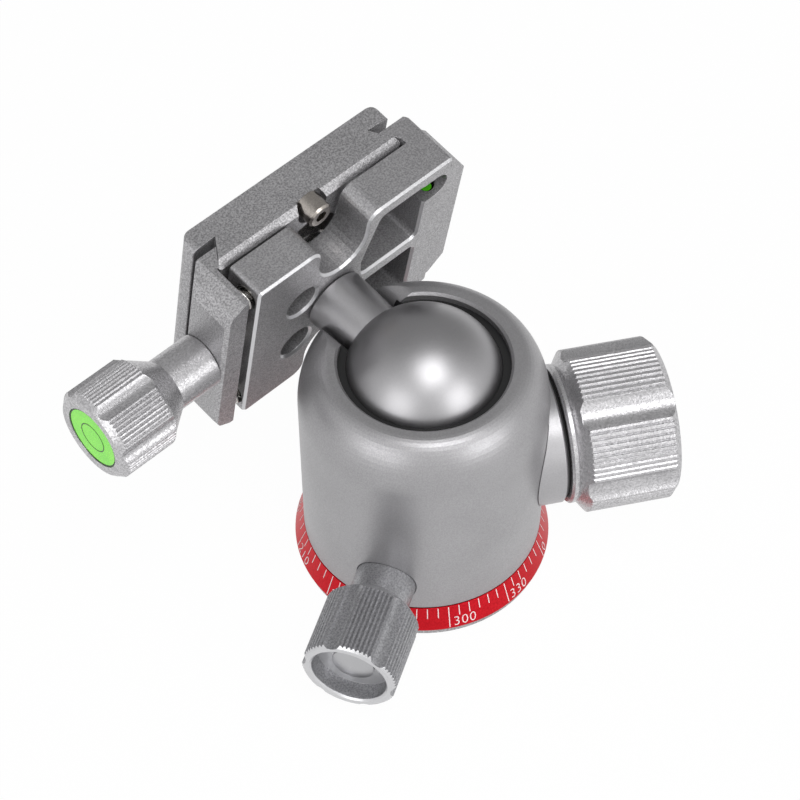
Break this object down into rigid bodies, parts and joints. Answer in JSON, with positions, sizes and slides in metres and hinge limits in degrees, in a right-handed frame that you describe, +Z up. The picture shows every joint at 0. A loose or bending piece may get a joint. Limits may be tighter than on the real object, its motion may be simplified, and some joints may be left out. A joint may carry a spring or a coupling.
{
  "type": "tripod ball head",
  "caption": "Small tripod ball head with panning base, drop notch, fluted lock knobs, quick-release clamp with bubble levels and a camera plate",
  "frame": {"origin": "middle of the base's underside, on the tripod thread's axis", "axes": "+Z up along the pan axis, +Y through the drop notch, +X to the fixed jaw's side of the clamp"},
  "size_m": [0.0857, 0.0732, 0.0621],
  "materials": {
    "body_metal": "bead-blasted and anodised gun-metal grey",
    "housing_metal": "finely blasted and anodised grey",
    "knob_metal": "bead-blasted, anodised silver",
    "pan_knob_metal": "coarsely blasted, anodised dark grey",
    "ball_metal": "polished and hard anodised, satin",
    "dial_metal": "red anodised, laser-marked white",
    "steel": "turned steel",
    "screw_steel": "slightly tarnished steel",
    "dark_steel": "blackened steel",
    "brass": "turned brass",
    "slip_plastic": "thin self-lubricating plastic",
    "seat_plastic": "black self-lubricating plastic",
    "rubber": "black rubber",
    "clear_plastic": "clear, glossy",
    "level_liquid": "bright green liquid, clear"
  },
  "bodies": {
    "base": {"base_plate": "body_metal", "scale_ring": "dial_metal", "lower_slip_washer": "slip_plastic", "upper_slip_washer": "slip_plastic", "pan_disc": "steel", "pan_disc_screws": "dark_steel"},
    "housing": {"housing": "housing_metal", "bearing_ring": "brass", "ball_seat_ring": "seat_plastic", "wedge_block": "body_metal", "knob_collar": "knob_metal", "main_knob_oring": "rubber"},
    "cup": {"ball_cup": "brass"},
    "wedge": {"wedge_pin": "steel"},
    "main_knob": {"main_knob": "knob_metal", "main_spindle": "steel", "main_knob_screw": "dark_steel", "main_knob_cap": "body_metal"},
    "pan_brake": {"pan_brake_shoe": "seat_plastic"},
    "pan_knob": {"pan_knob": "pan_knob_metal", "pan_spindle": "steel"},
    "ball": {"ball_and_stem": "ball_metal"},
    "clamp": {"clamp_bolt": "steel", "clamp_base": "body_metal", "side_vial": "clear_plastic", "side_vial_fluid": "level_liquid", "jaw_guide_pins": "steel"},
    "jaw": {"jaw": "body_metal", "jaw_springs": "steel"},
    "clamp_knob": {"clamp_knob": "knob_metal", "clamp_spindle": "steel", "level_cup": "seat_plastic", "level_fluid": "level_liquid", "level_lens": "clear_plastic"},
    "plate": {"qr_plate": "body_metal", "plate_pads": "rubber", "safety_screws": "screw_steel"},
    "camera_screw": {"camera_screw": "steel", "camera_screw_clip": "dark_steel"}
  },
  "joints": [
    {"name": "pan", "type": "hinge", "parent": "base", "child": "housing", "pos_m": [0, 0, 0], "axis": [0, 0, 1], "continuous": true},
    {"name": "wedge_slide", "type": "slide", "parent": "housing", "child": "wedge", "axis": [0.8526, -0.5225, 0], "range_m": [0, 0.00125]},
    {"name": "main_knob_turn", "type": "hinge", "parent": "wedge", "child": "main_knob", "pos_m": [0.02132, -0.01306, 0.0203], "axis": [0.8526, -0.5225, 0], "range_deg": [0, 360]},
    {"name": "cup_lift", "type": "slide", "parent": "housing", "child": "cup", "axis": [0, 0, -1], "range_m": [0, 0.00125]},
    {"name": "pan_brake_slide", "type": "slide", "parent": "housing", "child": "pan_brake", "axis": [-0.8829, -0.4695, 0], "range_m": [0, 0.0008]},
    {"name": "pan_knob_turn", "type": "hinge", "parent": "pan_brake", "child": "pan_knob", "pos_m": [-0.02207, -0.01174, 0.012], "axis": [-0.8829, -0.4695, 0], "range_deg": [0, 360]},
    {"name": "ball_tilt", "type": "hinge", "parent": "housing", "child": "ball", "pos_m": [0, 0, 0.0392], "axis": [-1, 0, 0], "range_deg": [-125, 10]},
    {"name": "clamp_swivel", "type": "hinge", "parent": "ball", "child": "clamp", "pos_m": [0, 0.02059, 0.04283], "axis": [0, 0.9848, 0.1736], "continuous": true},
    {"name": "jaw_slide", "type": "slide", "parent": "clamp", "child": "jaw", "axis": [-1, 0, 0], "range_m": [0, 0.0021], "deforming": ["jaw_springs"]},
    {"name": "clamp_knob_turn", "type": "hinge", "parent": "jaw", "child": "clamp_knob", "pos_m": [-0.0343, 0.02506, 0.04319], "axis": [-1, 0, 0], "range_deg": [0, 1080]},
    {"name": "plate_slide", "type": "slide", "parent": "clamp", "child": "plate", "axis": [0, 0.1736, -0.9848], "range_m": [-0.005, 0.005]},
    {"name": "camera_screw_turn", "type": "hinge", "parent": "plate", "child": "camera_screw", "pos_m": [0.0006, 0.03248, 0.0445], "axis": [0, 0.9848, 0.1736], "continuous": true}
  ],
  "couplings": [
    {"joint": "wedge_slide", "follows": "main_knob_turn", "m_per_rad": 0.00019894},
    {"joint": "cup_lift", "follows": "main_knob_turn", "m_per_rad": 0.00019894},
    {"joint": "pan_brake_slide", "follows": "pan_knob_turn", "m_per_rad": 0.00012732},
    {"joint": "jaw_slide", "follows": "clamp_knob_turn", "m_per_rad": 0.00011141}
  ]
}
